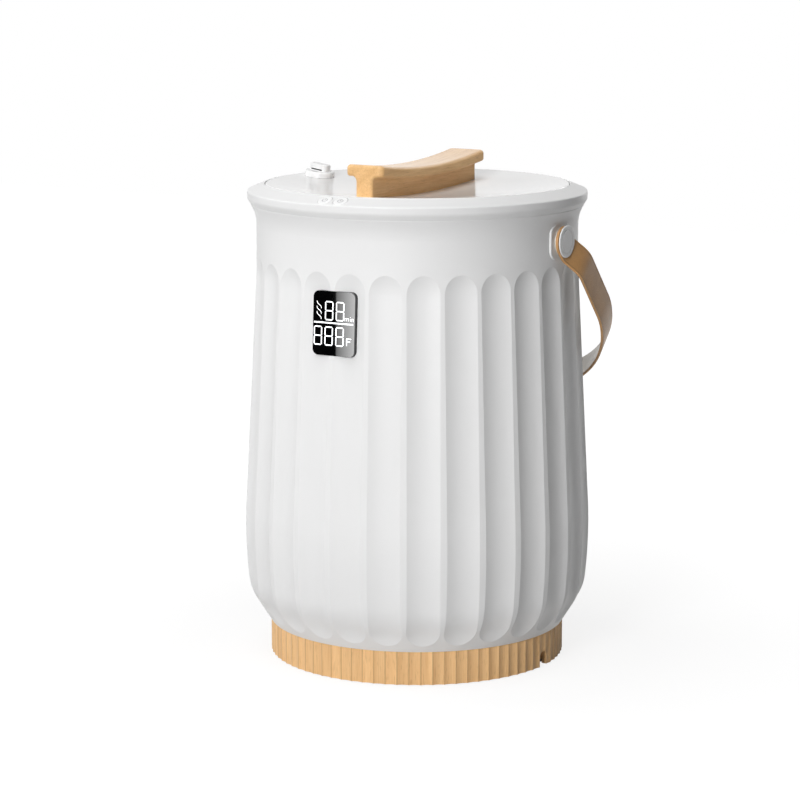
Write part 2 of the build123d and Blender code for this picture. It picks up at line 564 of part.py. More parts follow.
def dish_z(radius, drop=0.0):
    """Height of the lid's dished top, or of the surface that lies drop below it."""
    return DISH_CENTRE_Z - sqrt((DISH_SPHERE + drop) ** 2 - radius**2)


def knob_frame():
    """The knob's place: its Z axis is square to the dish and its X axis points away from the middle."""
    tilt = degrees(asin(KNOB_REACH / DISH_SPHERE))
    return polar(KNOB_REACH, LOCK_ANGLE, dish_z(KNOB_REACH)) * Rot(0, 0, LOCK_ANGLE) * Rot(0, -tilt, 0)


def lid_cover():
    top = ThreePointArc((0, 0, DISH_Z), (DISH_R / 2, 0, dish_z(DISH_R / 2)), (DISH_R, 0, RIM_TOP_Z))
    inner_r = LID_R - WALL
    half_way = (inner_r / 2, 0, dish_z(inner_r / 2, WALL))
    rim = Polyline(
        top @ 1,
        (LID_R, 0, RIM_TOP_Z - 0.9),
        (LID_R, 0, LID_BOTTOM_Z),
        (inner_r, 0, LID_BOTTOM_Z),
        (inner_r, 0, dish_z(inner_r, WALL)),
    )
    under = ThreePointArc(rim @ 1, half_way, (0, 0, dish_z(0, WALL)))
    close = Line(under @ 1, top @ 0)
    cover = revolve(bounded(top, rim, under, close), Axis.Z)
    for radius, angle in LINER_SCREWS:
        cover += polar(radius, angle) * rod(4, PLUG_Z + 1.5, dish_z(radius) - 1)
        cover -= polar(radius, angle) * rod(1.5, 380, dish_z(radius) - 3)
    for y in HANDLE_SCREW_Y:
        cover -= Pos(0, y) * rod(2.2, 390, 420)
    bearing = knob_frame() * (rod(7, -4.8, -1) - rod(4.06, -10, 10))
    cover = cover - knob_frame() * rod(4.06, -10, 10) + bearing
    window = Rot(0, 0, LOCK_ANGLE) * block(inner_r - 2, LID_R + 2, -18.5, 18.5, 400, 410.1)
    return cover - window


def lid_pieces():
    parts["lid_cover"] = lid_cover()
    liner_top, liner_r, plug_inner_r = LID_BOTTOM_Z + 1.2, LID_R - WALL - GAP, PLUG_R - 1.4
    outside = [(0, PLUG_Z), (PLUG_R, PLUG_Z), (PLUG_R, LID_BOTTOM_Z), (liner_r, LID_BOTTOM_Z)]
    floor = PLUG_Z + 1.5
    inside = [(liner_r, liner_top), (plug_inner_r, liner_top), (plug_inner_r, floor), (0, floor)]
    liner = lathe(outside + inside)
    for radius, angle in LINER_SCREWS:
        liner -= polar(radius, angle) * rod(1.7, 380, 395)
    parts["lid_liner"] = liner
    foam = rod(PLUG_R - 2, PLUG_Z + 1.6, 400.6)
    for radius, angle in LINER_SCREWS:
        foam -= polar(radius, angle) * rod(4.3, 380, 410)
    parts["lid_insulation"] = foam
    parts["lid_liner_screws"] = [
        polar(radius, angle, PLUG_Z) * screw(1.35, 3.0, 1.8, 12) for radius, angle in LINER_SCREWS
    ]
    parts["lid_handle"] = lid_handle()
    washers, screws = [], []
    for y in HANDLE_SCREW_Y:
        low = dish_z(abs(y), WALL) - 0.35
        washers.append(Pos(0, y) * tube(5.5, 2.25, low - 1.0, low))
        screws.append(Pos(0, y, low - 1.0) * screw(2.0, 3.8, 1.6, 16))
    parts["handle_washers"] = washers
    parts["handle_screws"] = screws


def bowed(z_mid, z_end):
    """A shallow smile-shaped arc over the handle's length, in the YZ plane."""
    half = HANDLE_LENGTH / 2
    return ThreePointArc((0, -half, z_end), (0, 0, z_mid), (0, half, z_end))


def bowed_slab(low, high, width):
    """The space between two bowed arcs, width wide."""
    sides = [Line(low @ 0, high @ 0), Line(high @ 1, low @ 1)]
    return extrude(bounded(low, high, *sides), width / 2, both=True)


def near_side(edge, width):
    return abs(abs(edge.center().X) - width / 2) < 0.2


def lid_handle():
    cap = bowed_slab(bowed(421.2, 426.7), bowed(430.0, 436.7), CAP_WIDTH)
    ends = cap.edges().filter_by(lambda edge: abs(edge.center().Y) > 89.9 and near_side(edge, CAP_WIDTH))
    cap = fillet(ends, 5.0)
    stem = bowed_slab(bowed(403.0, 408.0), bowed(424.0, 429.5), STEM_WIDTH)
    handle = cap + stem
    long_edges = handle.edges().filter_by(lambda edge: edge.length > 100)
    corner = long_edges.filter_by(lambda edge: near_side(edge, STEM_WIDTH) and 418 < edge.center().Z < 428)
    handle = fillet(corner, 4.5)
    ends = handle.edges().filter_by(lambda edge: abs(edge.center().Y) > 89.9 and edge.center().Z < 430)
    handle = fillet(ends.filter_by(lambda edge: 7 < abs(edge.center().X) < 12.9), 2.5)
    long_edges = handle.edges().filter_by(lambda edge: edge.length > 100)
    handle = fillet(long_edges.filter_by(lambda edge: near_side(edge, CAP_WIDTH)), 3.2)
    space = Pos(0, 0, DISH_CENTRE_Z) * Sphere(DISH_SPHERE)
    handle = handle & space
    for y in HANDLE_SCREW_Y:
        handle -= Pos(0, y) * rod(2.05, 390, 419.5)
    return handle


def lock_pieces():
    frame = knob_frame()
    base = fillet(rod(KNOB_R, GAP, 5.3).edges().group_by(Axis.Z)[-1], 1.6)
    grip = extrude(Pos(0, 0, 5.0) * RectangleRounded(20, 9, 3), 6.3)
    grip = fillet(grip.edges().group_by(Axis.Z)[-1], 1.2)
    groove = block(-6.2, 6.2, 2.6, 5.0, 5.8, 7.0)
    shaft = rod(4.0, -4.9, GAP + 0.5) + rod(3.0, -6.8, -4.9)
    parts["lock_knob"] = frame * (base + grip + shaft - groove - Rot(0, 0, 180) * groove - rod(1.3, -7, -1))
    arm = Pos(0, -8.4, -6.8) * extrude(RectangleRounded(8, 24.0, 3), 1.8)
    arm += rod(5.6, -6.8, -5.0)
    arm -= rod(3.05, -10, 0)
    parts["lock_tongue"] = frame * arm
    parts["lock_screw"] = frame * Pos(0, 0, -6.82) * screw(1.2, 3.9, 1.1, 4.5)


base_pieces()
parts["outer_shell"] = outer_shell()
power_pieces()
heater_pieces()
ring_pieces()
display_pieces()
parts["wire_harness"] = wire_harness()
strap_pieces()
lid_pieces()
lock_pieces()

os.makedirs("parts", exist_ok=True)
for name, piece in parts.items():
    solids = piece if isinstance(piece, list) else [piece]
    solids = [s for p in solids for s in p.solids()]
    export_step(Compound(children=solids) if len(solids) > 1 else solids[0], f"parts/{name}.step")
    print(name, len(solids))
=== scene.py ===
import math

import bmesh
import bpy
from mathutils import Matrix, Vector


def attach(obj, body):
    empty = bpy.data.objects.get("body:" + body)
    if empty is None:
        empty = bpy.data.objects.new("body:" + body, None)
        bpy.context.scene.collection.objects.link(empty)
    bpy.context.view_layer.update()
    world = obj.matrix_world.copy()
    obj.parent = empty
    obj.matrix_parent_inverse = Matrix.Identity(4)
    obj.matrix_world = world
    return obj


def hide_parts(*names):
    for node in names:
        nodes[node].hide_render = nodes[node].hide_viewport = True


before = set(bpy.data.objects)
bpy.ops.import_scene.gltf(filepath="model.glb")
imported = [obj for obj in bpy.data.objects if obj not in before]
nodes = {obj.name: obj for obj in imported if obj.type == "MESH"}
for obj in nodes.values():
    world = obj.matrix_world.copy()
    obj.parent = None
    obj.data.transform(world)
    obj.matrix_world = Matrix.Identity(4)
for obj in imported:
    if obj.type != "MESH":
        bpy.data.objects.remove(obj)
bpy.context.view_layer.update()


# ---- foot ring ----
# A flat ring of dark silicone rubber, pressed into the underside of the plate.
# It keeps the bucket from sliding, and has a dull, finely pitted skin.
def node(tree, kind, inputs=(), **settings):
    """Adds a shader node; inputs gives each socket a plain value or the output it is fed from."""
    made = tree.nodes.new("ShaderNode" + kind)
    for name, value in settings.items():
        setattr(made, name, value)
    for socket, value in dict(inputs).items():
        if isinstance(value, bpy.types.NodeSocket):
            tree.links.new(value, made.inputs[socket])
        else:
            made.inputs[socket].default_value = value
    return made


def here(tree):
    """Where a point lies on the object, in metres."""
    return node(tree, "TexCoord").outputs["Object"]


def noise(tree, at, scale, detail, **more):
    return node(tree, "TexNoise", {"Vector": at, "Scale": scale, "Detail": detail, **more}).outputs["Fac"]


def remap(tree, value, low=0.0, high=1.0, to_low=0.0, to_high=1.0, **settings):
    """Takes a value from low..high to to_low..to_high."""
    limits = {"Value": value, "From Min": low, "From Max": high, "To Min": to_low, "To Max": to_high}
    return node(tree, "MapRange", limits, **settings).outputs[0]


def calc(tree, operation, *values):
    return node(tree, "Math", dict(enumerate(values)), operation=operation).outputs[0]


def blend(tree, share, base, over, kind="MIX"):
    """One colour over another; share is how much the second one shows."""
    mixed = node(tree, "Mix", {0: share, 6: base, 7: over}, data_type="RGBA", blend_type=kind)
    return mixed.outputs[2]


def effect(name, inputs, outputs):
    """An empty node group with named inputs and outputs: (tree, what it is given, its output node)."""
    tree = bpy.data.node_groups.new(name, "ShaderNodeTree")
    for socket, value in inputs.items():
        kind = "Float" if isinstance(value, float) else "Vector" if len(value) == 3 else "Color"
        made = tree.interface.new_socket(socket, in_out="INPUT", socket_type="NodeSocket" + kind)
        made.default_value = value
    for socket, kind in outputs.items():
        tree.interface.new_socket(socket, in_out="OUTPUT", socket_type="NodeSocket" + kind)
    return tree, tree.nodes.new("NodeGroupInput").outputs, tree.nodes.new("NodeGroupOutput")


def feed(tree, fed, **sockets):
    """Links outputs to a node's inputs; an underscore stands for a space in an input's name."""
    for name, value in sockets.items():
        tree.links.new(value, fed.inputs[name.replace("_", " ")])


def finish_of(name, **plain):
    """A new material: (material, tree, shader); plain numbers go on the shader's own sockets."""
    material = bpy.data.materials.new(name)
    material.use_nodes = True
    shader = material.node_tree.nodes["Principled BSDF"]
    for socket, value in plain.items():
        shader.inputs[socket.replace("_", " ")].default_value = value
    return material, material.node_tree, shader


def use(tree, group, inputs=()):
    return node(tree, "Group", inputs, node_tree=group).outputs


def skin_on(tree, shader, skin, depth, strength=1.0):
    """Feeds a group's colour, roughness and relief to the shader; depth is the relief in metres."""
    relief = node(tree, "Bump", {"Height": skin["Height"], "Strength": strength, "Distance": depth})
    feed(tree, shader, Base_Color=skin["Colour"], Roughness=skin["Roughness"], Normal=relief.outputs[0])


def dress(material, *names):
    """Gives CAD nodes a material."""
    for name in names:
        for place in nodes[name].material_slots:
            place.material = material


OUTPUTS = {"Colour": "Color", "Roughness": "Float", "Height": "Float"}

# the skin of a moulded part: fine spark-eroded grain, and faint handling marks that dull it a little
MARK_SCALE, MARK_START, MARK_FULL = 13.0, 0.48, 0.8
MARK_DULLING, MARK_SHARE, MARK_SHADE = 0.22, 0.12, (0.62, 0.6, 0.57, 1.0)
moulded, given, out = effect(
    "moulded_skin",
    {"Colour": (0.8, 0.8, 0.8, 1.0), "Roughness": 0.4, "Grain": 1200.0, "Handling": 0.3},
    OUTPUTS,
)
at = here(moulded)
grain = noise(moulded, at, given["Grain"], 2.0)
marks = noise(moulded, at, MARK_SCALE, 6.0, Roughness=0.65)
amount = calc(moulded, "MULTIPLY", remap(moulded, marks, MARK_START, MARK_FULL), given["Handling"])
dulled = calc(moulded, "MULTIPLY_ADD", amount, MARK_DULLING, given["Roughness"])
shade = blend(moulded, amount, given["Colour"], MARK_SHADE, "MULTIPLY")
tint = blend(moulded, MARK_SHARE, given["Colour"], shade)
feed(moulded, out, Colour=tint, Roughness=dulled, Height=grain)


def moulded_finish(name, colour, roughness, grain, handling, depth, **plain):
    """A moulded part's material; grain is grains per metre, and depth is the grain's relief in metres."""
    material, tree, shader = finish_of(name, **plain)
    inputs = {"Colour": (*colour, 1.0), "Roughness": roughness, "Grain": grain, "Handling": handling}
    skin_on(tree, shader, use(tree, moulded, inputs), depth)
    return material


rubber = moulded_finish(
    "silicone_rubber", (0.035, 0.035, 0.037), roughness=0.72, grain=1500.0, handling=0.6, depth=0.00006
)
dress(rubber, "foot_ring", "rim_gasket", "cord_inlet")


# ---- ribbed base ring ----
# A ring of clear-lacquered beech with eighty hollow ribs milled round it, grain upright.
# It is glued up from staves, so the colour steps a little from rib to rib. The sharp ridges are painted
# darker: painted shade, standing for the shade lines beside each ridge.
RIBS, RIDGE_R = 80, 0.129
# painted shade along the ridge tops: where it starts and where it is full, and how dark it gets
RIDGE_SHADE_START, RIDGE_SHADE_FULL, RIDGE_SHADE_AMOUNT = 0.00035, 0.00005, 0.4  # depths below a ridge, and how dark it gets
BEECH_LIGHT, BEECH_DARK = (0.95, 0.62, 0.31, 1.0), (0.72, 0.4, 0.165, 1.0)
FLECK_BROWN, FLECK_SHARE, RIDGE_SHADE_BROWN = (0.3, 0.14, 0.05, 1.0), 0.22, (0.3, 0.15, 0.06, 1.0)


def stretched(tree, at, along):
    """The place with its Z shrunk, so that a pattern runs long in that direction."""
    return node(tree, "Mapping", {"Vector": at, "Scale": (1.0, 1.0, along)}).outputs[0]


# wood with its grain along Z of the vector it is given: slow figure, fine fibres, short dark flecks
beech, given, out = effect(
    "beech_figure",
    {"Vector": (0.0, 0.0, 0.0), "Light": BEECH_LIGHT, "Dark": BEECH_DARK, "Figure": 0.35, "Fibres": 900.0},
    OUTPUTS,
)
along = stretched(beech, given["Vector"], 0.1)
slow = noise(beech, along, 55.0, 3.0)
growth = node(
    beech, "TexWave",
    {"Vector": along, "Scale": 38.0, "Distortion": 5.0, "Detail": 2.0, "Detail Scale": 1.4},
    wave_type="BANDS", bands_direction="DIAGONAL",
).outputs["Fac"]
fibres = noise(beech, stretched(beech, given["Vector"], 0.03), given["Fibres"], 5.0, Roughness=0.75)
pores = noise(beech, stretched(beech, given["Vector"], 0.12), 950.0, 1.0)
flecks = remap(beech, pores, 0.6, 0.74)
figure = calc(beech, "MULTIPLY", calc(beech, "MULTIPLY", slow, growth), given["Figure"])
dark = calc(beech, "ADD", figure, remap(beech, fibres, 0.35, 0.7, to_high=0.55))
timber = blend(beech, dark, given["Light"], given["Dark"])
timber = blend(beech, calc(beech, "MULTIPLY", flecks, FLECK_SHARE), timber, FLECK_BROWN)
lacquer = remap(beech, fibres, to_low=0.36, to_high=0.5)
feed(beech, out, Colour=timber, Roughness=lacquer, Height=calc(beech, "SUBTRACT", fibres, flecks))


def polar(tree, at):
    """A point's distance from the upright axis, its angle round the axis, and its height."""
    place = node(tree, "SeparateXYZ", {0: at}).outputs
    flat = node(tree, "CombineXYZ", {"X": place["X"], "Y": place["Y"]}).outputs[0]
    radius = node(tree, "VectorMath", {0: flat}, operation="LENGTH").outputs["Value"]
    return radius, calc(tree, "ARCTAN2", place["Y"], place["X"]), place["Z"]


ribbed, tree, shader = finish_of("ribbed_beech", Specular_IOR_Level=0.25)
at = here(tree)
radius, angle, _ = polar(tree, at)
stave = calc(tree, "FLOOR", calc(tree, "MULTIPLY", angle, RIBS / math.tau))
chance = node(tree, "TexWhiteNoise", {"W": stave}, noise_dimensions="1D").outputs
apart = node(tree, "VectorMath", {0: chance["Color"], 1: at}, operation="ADD").outputs[0]
wood = use(tree, beech, {"Vector": apart, "Figure": 0.3})
level = remap(tree, chance["Value"], to_low=0.98, to_high=1.1)
stained = blend(tree, 1.0, wood["Colour"], level, "MULTIPLY")
# painted shade: within a fraction of a millimetre of a ridge, the colour is darkened towards brown
edge = calc(tree, "MULTIPLY", remap(tree, radius, RIDGE_R - RIDGE_SHADE_START, RIDGE_R - RIDGE_SHADE_FULL), RIDGE_SHADE_AMOUNT)
skin_on(tree, shader, wood, 0.00008)
feed(tree, shader, Base_Color=blend(tree, edge, stained, RIDGE_SHADE_BROWN))
dress(ribbed, "base_ring")


# ---- bottom plate ----
# Black glass-filled plastic with two rows of vent slots, standing inside the ring.
# Six screws hold it up to the casing. The cradle that carries the bucket is of the same plastic.
black = moulded_finish(
    "matt_black_plastic", (0.022, 0.022, 0.024), roughness=0.55, grain=1600.0, handling=0.5, depth=0.00007
)
dress(black, "bottom_plate", "bucket_cradle", "display_reflector")


# ---- screws and small steel parts ----
# Zinc-plated pressed steel: cross-head screws, washers, clips, studs and the sensor bracket.
# The plating is faintly mottled, with fine turning lines.
metal, given, out = effect(
    "worked_metal",
    {"Vector": (0.0, 0.0, 0.0), "Colour": (0.6, 0.6, 0.6, 1.0), "Roughness": 0.3, "Lines": 2200.0},
    OUTPUTS,
)
lines = noise(metal, stretched(metal, given["Vector"], 0.02), given["Lines"], 3.0)
cloud = noise(metal, given["Vector"], 160.0, 4.0)
rough = calc(metal, "ADD", given["Roughness"], remap(metal, cloud, 0.3, 0.7, -0.06, 0.1))
dull = blend(metal, 0.35, given["Colour"], lines, "MULTIPLY")
feed(metal, out, Colour=dull, Roughness=rough, Height=lines)


def metal_finish(name, colour, roughness, lines, turned=(0.0, 0.0, 0.0), depth=0.00002):
    """Bare metal; turned lays the direction of its lines, which run along Z unturned."""
    material, tree, shader = finish_of(name, Metallic=1.0)
    laid = node(tree, "Mapping", {"Vector": here(tree), "Rotation": turned}).outputs[0]
    inputs = {"Vector": laid, "Colour": (*colour, 1.0), "Roughness": roughness, "Lines": lines}
    skin_on(tree, shader, use(tree, metal, inputs), depth)
    return material


dress(
    metal_finish("zinc_plate", (0.72, 0.72, 0.7), roughness=0.32, lines=3000.0),
    "base_screws", "power_board_screws", "bracket_screws", "ring_screws", "button_board_screws",
    "display_screws", "lid_liner_screws", "handle_screws", "handle_washers", "strap_studs", "strap_nuts",
    "lock_screw", "power_button_clip", "timer_button_clip", "button_switches", "sensor_bracket",
    "strap_eyelets",
)


# ---- fluted casing ----
# One injection moulding in satin white ABS, with 28 hollow flutes between narrow flat ridges.
# It stands on the wooden ring and carries the strap pads. The grain is only just felt.
WHITE = (0.84, 0.84, 0.84)
casing = moulded_finish(
    "satin_white_casing", WHITE, roughness=0.38, grain=1300.0, handling=0.2, depth=0.000012,
    Specular_IOR_Level=0.35,
)
dress(casing, "outer_shell")


# ---- power board ----
# A green fibreglass board on four posts, with its transformer, relay, capacitors and terminals.
# The lacquer shows the tracks beneath as lighter green, and bare tinned pads.
TRACK_EDGE, PAD_EDGE = 0.42, 0.16
TRACK_GREEN, BOARD_GREEN, TIN = (0.03, 0.19, 0.065, 1.0), (0.012, 0.1, 0.035, 1.0), (0.62, 0.6, 0.55, 1.0)
# the transformer's taped winding lies where X and Y are both below these
WINDING_X, WINDING_Y, TAPE_YELLOW = -0.0139, 0.0101, (0.62, 0.43, 0.06, 1.0)

board, given, out = effect("lacquered_board", {"Vector": (0.0, 0.0, 0.0), "Tracks": 160.0}, OUTPUTS)
cells = node(
    board, "TexVoronoi", {"Vector": given["Vector"], "Scale": given["Tracks"], "Randomness": 0.7},
    distance="CHEBYCHEV",
).outputs["Distance"]
pads = node(board, "TexVoronoi", {"Vector": given["Vector"], "Scale": 260.0, "Randomness": 0.25})
track = calc(board, "GREATER_THAN", cells, TRACK_EDGE)
pad = calc(board, "LESS_THAN", pads.outputs["Distance"], PAD_EDGE)
laid = blend(board, pad, blend(board, track, BOARD_GREEN, TRACK_GREEN), TIN)
feed(board, out, Colour=laid, Roughness=remap(board, pad, to_low=0.28, to_high=0.42), Height=track)

green, tree, shader = finish_of("green_board")
skin_on(tree, shader, use(tree, board, {"Vector": here(tree)}), 0.00004)
dress(green, "power_board", "display_board", "button_board")


def paint_over(material, mask, colour):
    """Lays a colour over a finished material where the mask is 1."""
    tree = material.node_tree
    shader = tree.nodes["Principled BSDF"]
    below = next(link.from_socket for link in tree.links if link.to_socket == shader.inputs["Base Color"])
    feed(tree, shader, Base_Color=blend(tree, mask, below, colour))


components = moulded_finish(
    "component_plastic", (0.05, 0.05, 0.055), roughness=0.4, grain=1400.0, handling=0.4, depth=0.00004
)
tree = components.node_tree
place = node(tree, "SeparateXYZ", {0: here(tree)}).outputs
wound = calc(tree, "LESS_THAN", place["X"], WINDING_X)
taped = calc(tree, "MULTIPLY", wound, calc(tree, "LESS_THAN", place["Y"], WINDING_Y))
paint_over(components, taped, TAPE_YELLOW)
dress(components, "power_components")

terminal = moulded_finish(
    "terminal_green", (0.03, 0.2, 0.08), roughness=0.35, grain=1200.0, handling=0.3, depth=0.00004
)
dress(terminal, "terminal_block")
sleeve = moulded_finish(
    "black_lead", (0.02, 0.02, 0.02), roughness=0.5, grain=900.0, handling=0.4, depth=0.00003
)
dress(sleeve, "wire_harness")


# ---- heated bucket ----
# A spun and anodised aluminium bucket, brushed round, with a rolled rim that hangs on the ring's ledge.
# Two alloy bands clamp an amber heater film round it. Sensors sit in the bracket under its floor.
spun, tree, shader = finish_of("spun_aluminium", Metallic=1.0)
radius, angle, height = polar(tree, here(tree))
lathed = node(tree, "CombineXYZ", {"X": radius, "Y": height, "Z": angle}).outputs[0]
skin = use(
    tree, metal, {"Vector": lathed, "Colour": (0.86, 0.87, 0.88, 1.0), "Roughness": 0.34, "Lines": 1800.0}
)
skin_on(tree, shader, skin, 0.00003)
dress(spun, "inner_bucket")
lying = (math.pi / 2, 0.0, 0.0)
bands = metal_finish("rolled_alloy", (0.8, 0.81, 0.82), roughness=0.36, lines=1500.0, turned=lying)
dress(bands, "heater_bands")

AMBER, AMBER_FOIL, FOIL_EDGE = (0.55, 0.2, 0.02, 1.0), (0.32, 0.12, 0.02, 1.0), 0.45
film, tree, shader = finish_of("amber_film", Roughness=0.35, Coat_Weight=0.4, Coat_Roughness=0.15)
tracks = node(
    tree, "TexWave", {"Vector": here(tree), "Scale": 42.0}, wave_type="BANDS", bands_direction="Z"
)
foil = calc(tree, "GREATER_THAN", tracks.outputs["Fac"], FOIL_EDGE)
relief = node(tree, "Bump", {"Height": foil, "Distance": 0.00005, "Strength": 0.8}).outputs[0]
feed(tree, shader, Base_Color=blend(tree, foil, AMBER, AMBER_FOIL), Normal=relief)
dress(film, "heater_film")

ceramic = moulded_finish(
    "glazed_ceramic", (0.72, 0.7, 0.64), roughness=0.3, grain=700.0, handling=0.5, depth=0.00003
)
dress(ceramic, "thermostat", "ntc_sensor", "thermal_fuse")


# ---- insulation ----
# Needled white felt: a sleeve round the bucket, a disc under it, and a pad inside the lid.
# Loose fibres lie every way, so the surface is soft and slightly lumpy.
FELT_SHADE, FELT_LIGHT = (0.6, 0.58, 0.54, 1.0), (0.82, 0.81, 0.78, 1.0)
felt, tree, shader = finish_of("needled_felt", Roughness=0.95, Sheen_Weight=0.4, Sheen_Roughness=0.6)
hairs = noise(tree, here(tree), 900.0, 6.0, Distortion=2.5)
pile = calc(tree, "ADD", hairs, noise(tree, here(tree), 120.0, 2.0))
relief = node(tree, "Bump", {"Height": pile, "Distance": 0.0006, "Strength": 0.8}).outputs[0]
feed(tree, shader, Base_Color=blend(tree, hairs, FELT_SHADE, FELT_LIGHT), Normal=relief)
dress(felt, "insulation_sleeve", "insulation_disc", "lid_insulation")


# ---- top ring ----
# A glossy white moulding that clips over the casing's lip and is screwed up from below.
# It frames the lid, holds the two buttons in a front recess, and carries the bucket's rim.
gloss_white = moulded_finish(
    "gloss_white_ring", (0.81, 0.81, 0.81), roughness=0.36, grain=400.0, handling=0.04, depth=0.0000003,
    Specular_IOR_Level=0.3,
)
dress(gloss_white, "top_ring")


# ---- buttons ----
# Two round caps, power and timer, that follow the slope of the ring and press straight down.
# Each carries a small grey sign, pad-printed: a power stroke in an open circle, and a clock face.
button_white = moulded_finish(
    "button_white", (0.9, 0.9, 0.9), roughness=0.2, grain=400.0, handling=0.1, depth=0.000001
)
dress(button_white, "power_button", "timer_button")

BUTTON_CENTRE_R, BUTTON_OFFSET = 0.1395, 0.0075
BUTTON_TOP_Z, RING_SLOPE = 0.4113, 0.4
SIGN_R, SIGN_STROKE, SIGN_LIFT, SIGN_STEPS = 0.0023, 0.0006, 0.00005, 40
POWER_GAP_FROM, POWER_SWEEP = 125, 290  # degrees
POWER_STROKE = ((0, 0.0006), (0, 0.0029))
CLOCK_HANDS = ((0, 0.0015), (0.0011, 0))


def shaped(name, shape):
    """An object in the scene from a bmesh, which is used up."""
    mesh = bpy.data.meshes.new(name)
    shape.to_mesh(mesh)
    shape.free()
    made = bpy.data.objects.new(name, mesh)
    bpy.context.scene.collection.objects.link(made)
    return made


def piece(name, shape, material, body):
    """A finished piece from a bmesh, on its body, with smooth shading and outward faces."""
    bmesh.ops.recalc_face_normals(shape, faces=shape.faces)
    made = shaped(name, shape)
    made.data.shade_smooth()
    made.data.materials.append(material)
    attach(made, body)
    return made


def sign_arc(shape, radius, start, sweep):
    """A printed line round part of a circle, as a thin raised strip."""
    inner, outer = radius - SIGN_STROKE / 2, radius + SIGN_STROKE / 2
    corners = [(inner, -SIGN_LIFT), (outer, -SIGN_LIFT), (outer, SIGN_LIFT), (inner, SIGN_LIFT)]
    turn = Matrix.Rotation(math.radians(start), 3, "Z")
    first = shape.faces.new([shape.verts.new(turn @ Vector((r, 0, z))) for r, z in corners])
    full = sweep == 360
    bmesh.ops.spin(
        shape, geom=[*first.verts, *first.edges] + ([] if full else [first]), cent=(0, 0, 0),
        axis=(0, 0, 1), angle=math.radians(sweep), steps=SIGN_STEPS, use_merge=full,
    )
    if full:
        shape.faces.remove(first)


def sign_bar(shape, start, end):
    """A straight printed line between two points of the sign."""
    start, end = Vector((*start, 0)), Vector((*end, 0))
    run = end - start
    size = Matrix.Diagonal((run.length, SIGN_STROKE, 2 * SIGN_LIFT, 1))
    turn = Matrix.Rotation(math.atan2(run.y, run.x), 4, "Z")
    bmesh.ops.create_cube(shape, size=1, matrix=Matrix.Translation((start + end) / 2) @ turn @ size)


ink = moulded_finish(
    "grey_ink", (0.36, 0.36, 0.37), roughness=0.45, grain=1500.0, handling=0.2, depth=0.00001
)
for name, side in (("power", -1), ("timer", 1)):
    sign = bmesh.new()
    if name == "power":
        sign_arc(sign, SIGN_R, POWER_GAP_FROM, POWER_SWEEP)
        sign_bar(sign, *POWER_STROKE)
    else:
        sign_arc(sign, SIGN_R, 0, 360)
        for tip in CLOCK_HANDS:
            sign_bar(sign, (0, 0), tip)
    reach = math.asin(BUTTON_OFFSET / BUTTON_CENTRE_R) * side - math.pi / 2
    out_way = Vector((math.cos(reach), math.sin(reach), 0))
    lie = Matrix.Rotation(reach + math.pi / 2, 4, "Z") @ Matrix.Rotation(math.atan(RING_SLOPE), 4, "X")
    spot = out_way * BUTTON_CENTRE_R + Vector((0, 0, BUTTON_TOP_Z))
    bmesh.ops.transform(sign, matrix=Matrix.Translation(spot) @ lie, verts=sign.verts)
    piece(f"{name}_sign", sign, ink, f"{name}_button")


# ---- display ----
# A black acrylic window, polished and level with the casing's ridges. White light guides run through it
# for the digits, the divider, the heat sign and the units, lit evenly from the board behind.
SMOKE_DEEP, SMOKE_THIN = (0.0012, 0.0012, 0.0013, 1.0), (0.0022, 0.0022, 0.0024, 1.0)
COOL_WHITE, FULL_WHITE = (0.94, 0.96, 1.0, 1.0), (1.0, 1.0, 1.0, 1.0)
window, tree, shader = finish_of("black_window")
smears = noise(tree, here(tree), 60.0, 5.0)
polish = remap(tree, smears, 0.35, 0.7, 0.01, 0.02)
feed(tree, shader, Roughness=polish, Base_Color=blend(tree, smears, SMOKE_DEEP, SMOKE_THIN))
dress(window, "display_window")

guides, tree, shader = finish_of("lit_guides", Roughness=0.3, Emission_Strength=1.0)
glow = blend(tree, noise(tree, here(tree), 90.0, 2.0), COOL_WHITE, FULL_WHITE)
feed(tree, shader, Emission_Color=glow, Base_Color=glow)
dress(guides, "display_segments")


# ---- lid ----
# A dished, glossy white cover over a matt liner, with felt between. It lifts straight off.
# The dish is the glossiest surface of all: it mirrors the wooden handle faintly.
lid_white = moulded_finish(
    "polished_lid", WHITE, roughness=0.13, grain=400.0, handling=0.05, depth=0.0000006
)
dress(lid_white, "lid_cover")
liner_white = moulded_finish(
    "matt_liner", (0.74, 0.74, 0.73), roughness=0.52, grain=1400.0, handling=0.5, depth=0.00005
)
dress(liner_white, "lid_liner")


# ---- lid handle ----
# One piece of beech, band-sawn to a shallow smile and rounded over, with the grain lengthwise.
# The cap is wider than the stem. The lacquer is thin, so the grain still shows; the top is waxed smooth.
handle, tree, shader = finish_of("handle_beech", Coat_Roughness=0.25, Specular_IOR_Level=0.2)
lengthwise = node(tree, "Mapping", {"Vector": here(tree), "Rotation": (math.pi / 2, 0.04, 0.0)}).outputs[0]
wood = use(
    tree, beech,
    {
        "Vector": lengthwise, "Light": (0.89, 0.575, 0.275, 1.0), "Dark": (0.6, 0.32, 0.12, 1.0),
        "Figure": 0.35, "Fibres": 520.0,
    },
)
skin_on(tree, shader, wood, 0.00005)
facing = node(tree, "SeparateXYZ", {0: node(tree, "TexCoord").outputs["Normal"]}).outputs["Z"]
feed(tree, shader, Coat_Weight=remap(tree, facing, 0.3, 0.9, to_low=0.05))
dress(handle, "lid_handle")
